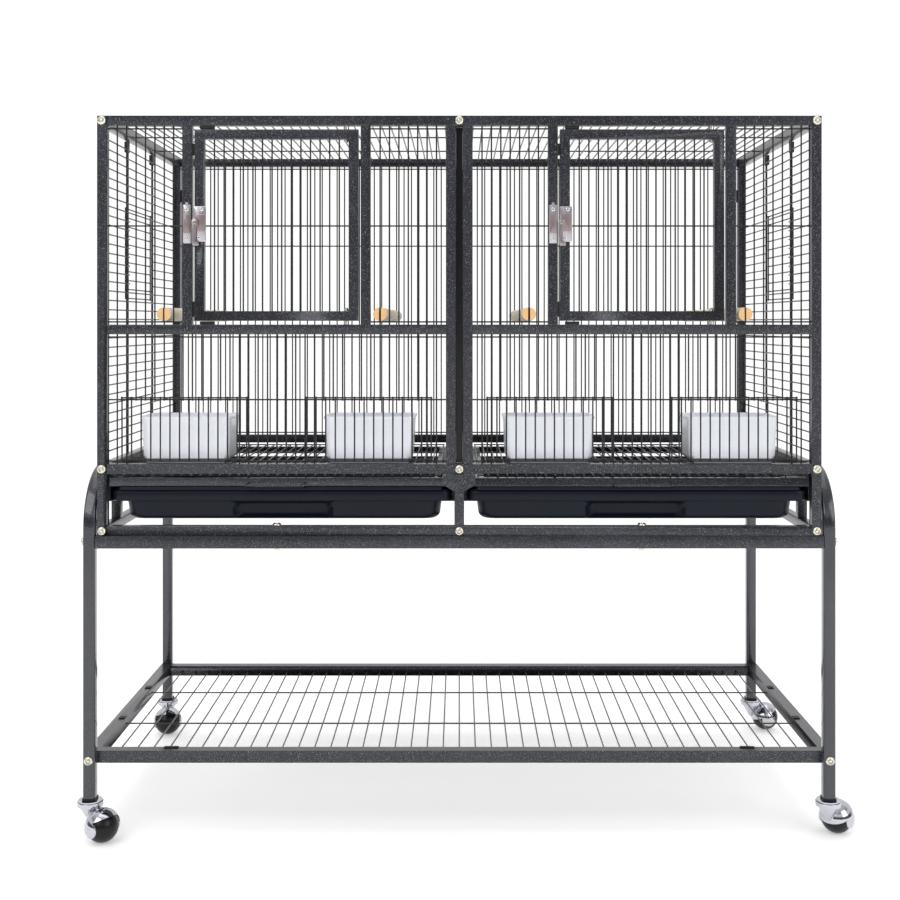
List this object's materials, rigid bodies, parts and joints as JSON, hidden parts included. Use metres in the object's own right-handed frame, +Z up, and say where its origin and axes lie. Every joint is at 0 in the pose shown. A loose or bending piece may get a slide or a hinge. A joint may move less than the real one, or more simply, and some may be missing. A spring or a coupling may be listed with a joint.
{
  "type": "bird cage on stand",
  "caption": "Divided wire flight cage with doors, feeder gates, perches and slide-out trays, on a rolling tube stand with a lower shelf.",
  "frame": {"origin": "on the floor, under the middle of the stand's four legs", "axes": "+X along the front, to the viewer's right; +Y from the front to the back; +Z up"},
  "size_m": [1.0226, 0.5133, 0.938],
  "materials": {
    "frame_tube": "hammered grey powder coat",
    "wire": "grey powder coat",
    "runner_sheet": "grey powder coat",
    "cup_plastic": "glossy white",
    "perch_wood": "plain turned softwood",
    "tray_plastic": "satin black",
    "black_plastic": "matt black",
    "nickel": "nickel plated",
    "chrome": "polished",
    "wheel_rubber": "smooth hard rubber"
  },
  "bodies": {
    "cage": {"front_frame": "frame_tube", "front_wires": "wire", "back_frame": "frame_tube", "back_wires": "wire", "side_frame_left": "frame_tube", "side_frame_right": "frame_tube", "centre_rails": "frame_tube", "side_wires_left": "wire", "side_wires_right": "wire", "side_rods": "wire", "top_wires": "wire", "tray_guides": "runner_sheet", "divider_guides": "runner_sheet", "hinge_pins": "nickel", "trim_clips": "black_plastic", "latch_keepers": "nickel", "bolts": "nickel", "perch_outer_left": "perch_wood", "perch_inner_left": "perch_wood", "perch_inner_right": "perch_wood", "perch_outer_right": "perch_wood", "stand_side_left": "frame_tube", "stand_side_right": "frame_tube", "stand_rail_front": "frame_tube", "stand_rail_back": "frame_tube", "shelf_frame": "frame_tube", "shelf_wires": "wire", "leg_plugs": "black_plastic", "caster_stems": "chrome"},
    "door_left": {"door_frame_left": "frame_tube", "door_wires_left": "wire", "latch_plate_left": "nickel"},
    "latch_left": {"latch_lever_left": "nickel"},
    "door_right": {"door_frame_right": "frame_tube", "door_wires_right": "wire", "latch_plate_right": "nickel"},
    "latch_right": {"latch_lever_right": "nickel"},
    "feeder_gate_inner_left": {"feeder_gate_inner_left": "wire"},
    "feeder_gate_outer_left": {"feeder_gate_outer_left": "wire"},
    "feeder_gate_inner_right": {"feeder_gate_inner_right": "wire"},
    "feeder_gate_outer_right": {"feeder_gate_outer_right": "wire"},
    "feeder_cup_inner_left": {"feeder_cup_inner_left": "cup_plastic"},
    "feeder_cup_outer_left": {"feeder_cup_outer_left": "cup_plastic"},
    "feeder_cup_inner_right": {"feeder_cup_inner_right": "cup_plastic"},
    "feeder_cup_outer_right": {"feeder_cup_outer_right": "cup_plastic"},
    "nest_gate_left": {"nest_gate_left": "wire"},
    "nest_gate_right": {"nest_gate_right": "wire"},
    "grate_left": {"grate_left": "wire"},
    "tray_left": {"tray_left": "tray_plastic"},
    "grate_right": {"grate_right": "wire"},
    "tray_right": {"tray_right": "tray_plastic"},
    "divider": {"divider": "wire"},
    "caster_front_left": {"caster_hood_front_left": "chrome"},
    "wheel_front_left": {"caster_wheel_front_left": "wheel_rubber"},
    "caster_front_right": {"caster_hood_front_right": "chrome"},
    "wheel_front_right": {"caster_wheel_front_right": "wheel_rubber"},
    "caster_rear_left": {"caster_hood_rear_left": "chrome"},
    "wheel_rear_left": {"caster_wheel_rear_left": "wheel_rubber"},
    "caster_rear_right": {"caster_hood_rear_right": "chrome"},
    "wheel_rear_right": {"caster_wheel_rear_right": "wheel_rubber"}
  },
  "joints": [
    {"name": "door_left_swing", "type": "hinge", "parent": "cage", "child": "door_left", "pos_m": [-0.14695, -0.22465, 0.7962], "axis": [0, 0, 1], "range_deg": [0, 120]},
    {"name": "latch_left_turn", "type": "hinge", "parent": "door_left", "child": "latch_left", "pos_m": [-0.34225, -0.2352, 0.7994], "axis": [0, -1, 0], "range_deg": [0, 75]},
    {"name": "door_right_swing", "type": "hinge", "parent": "cage", "child": "door_right", "pos_m": [0.32775, -0.22465, 0.7962], "axis": [0, 0, 1], "range_deg": [0, 120]},
    {"name": "latch_right_turn", "type": "hinge", "parent": "door_right", "child": "latch_right", "pos_m": [0.13245, -0.2352, 0.7994], "axis": [0, -1, 0], "range_deg": [0, 75]},
    {"name": "feeder_gate_inner_left_lift", "type": "slide", "parent": "cage", "child": "feeder_gate_inner_left", "axis": [0, 0, 1], "range_m": [0, 0.072]},
    {"name": "feeder_gate_outer_left_lift", "type": "slide", "parent": "cage", "child": "feeder_gate_outer_left", "axis": [0, 0, 1], "range_m": [0, 0.072]},
    {"name": "feeder_gate_inner_right_lift", "type": "slide", "parent": "cage", "child": "feeder_gate_inner_right", "axis": [0, 0, 1], "range_m": [0, 0.072]},
    {"name": "feeder_gate_outer_right_lift", "type": "slide", "parent": "cage", "child": "feeder_gate_outer_right", "axis": [0, 0, 1], "range_m": [0, 0.072]},
    {"name": "feeder_cup_inner_left_lift", "type": "slide", "parent": "cage", "child": "feeder_cup_inner_left", "axis": [0, 0, 1], "range_m": [0, 0.03]},
    {"name": "feeder_cup_outer_left_lift", "type": "slide", "parent": "cage", "child": "feeder_cup_outer_left", "axis": [0, 0, 1], "range_m": [0, 0.03]},
    {"name": "feeder_cup_inner_right_lift", "type": "slide", "parent": "cage", "child": "feeder_cup_inner_right", "axis": [0, 0, 1], "range_m": [0, 0.03]},
    {"name": "feeder_cup_outer_right_lift", "type": "slide", "parent": "cage", "child": "feeder_cup_outer_right", "axis": [0, 0, 1], "range_m": [0, 0.03]},
    {"name": "nest_gate_left_lift", "type": "slide", "parent": "cage", "child": "nest_gate_left", "axis": [0, 0, 1], "range_m": [0, 0.075]},
    {"name": "nest_gate_right_lift", "type": "slide", "parent": "cage", "child": "nest_gate_right", "axis": [0, 0, 1], "range_m": [0, 0.075]},
    {"name": "grate_left_pull", "type": "slide", "parent": "cage", "child": "grate_left", "axis": [0, -1, 0], "range_m": [0, 0.4]},
    {"name": "tray_left_pull", "type": "slide", "parent": "cage", "child": "tray_left", "axis": [0, -1, 0], "range_m": [0, 0.4]},
    {"name": "grate_right_pull", "type": "slide", "parent": "cage", "child": "grate_right", "axis": [0, -1, 0], "range_m": [0, 0.4]},
    {"name": "tray_right_pull", "type": "slide", "parent": "cage", "child": "tray_right", "axis": [0, -1, 0], "range_m": [0, 0.4]},
    {"name": "divider_pull", "type": "slide", "parent": "cage", "child": "divider", "axis": [0, -1, 0], "range_m": [0, 0.42]},
    {"name": "caster_front_left_swivel", "type": "hinge", "parent": "cage", "child": "caster_front_left", "pos_m": [-0.47995, -0.22605, 0.045], "axis": [0, 0, 1], "continuous": true},
    {"name": "wheel_front_left_roll", "type": "hinge", "parent": "caster_front_left", "child": "wheel_front_left", "pos_m": [-0.46029, -0.23982, 0.0207], "axis": [0.5736, 0.8192, 0], "continuous": true},
    {"name": "caster_front_right_swivel", "type": "hinge", "parent": "cage", "child": "caster_front_right", "pos_m": [0.47995, -0.22605, 0.045], "axis": [0, 0, 1], "continuous": true},
    {"name": "wheel_front_right_roll", "type": "hinge", "parent": "caster_front_right", "child": "wheel_front_right", "pos_m": [0.49601, -0.20822, 0.0207], "axis": [-0.7431, 0.6691, 0], "continuous": true},
    {"name": "caster_rear_left_swivel", "type": "hinge", "parent": "cage", "child": "caster_rear_left", "pos_m": [-0.47995, 0.22605, 0.045], "axis": [0, 0, 1], "continuous": true},
    {"name": "wheel_rear_left_roll", "type": "hinge", "parent": "caster_rear_left", "child": "wheel_rear_left", "pos_m": [-0.47496, 0.20257, 0.0207], "axis": [0.9781, 0.2079, 0], "continuous": true},
    {"name": "caster_rear_right_swivel", "type": "hinge", "parent": "cage", "child": "caster_rear_right", "pos_m": [0.47995, 0.22605, 0.045], "axis": [0, 0, 1], "continuous": true},
    {"name": "wheel_rear_right_roll", "type": "hinge", "parent": "caster_rear_right", "child": "wheel_rear_right", "pos_m": [0.50389, 0.22772, 0.0207], "axis": [-0.0698, 0.9976, 0], "continuous": true}
  ]
}
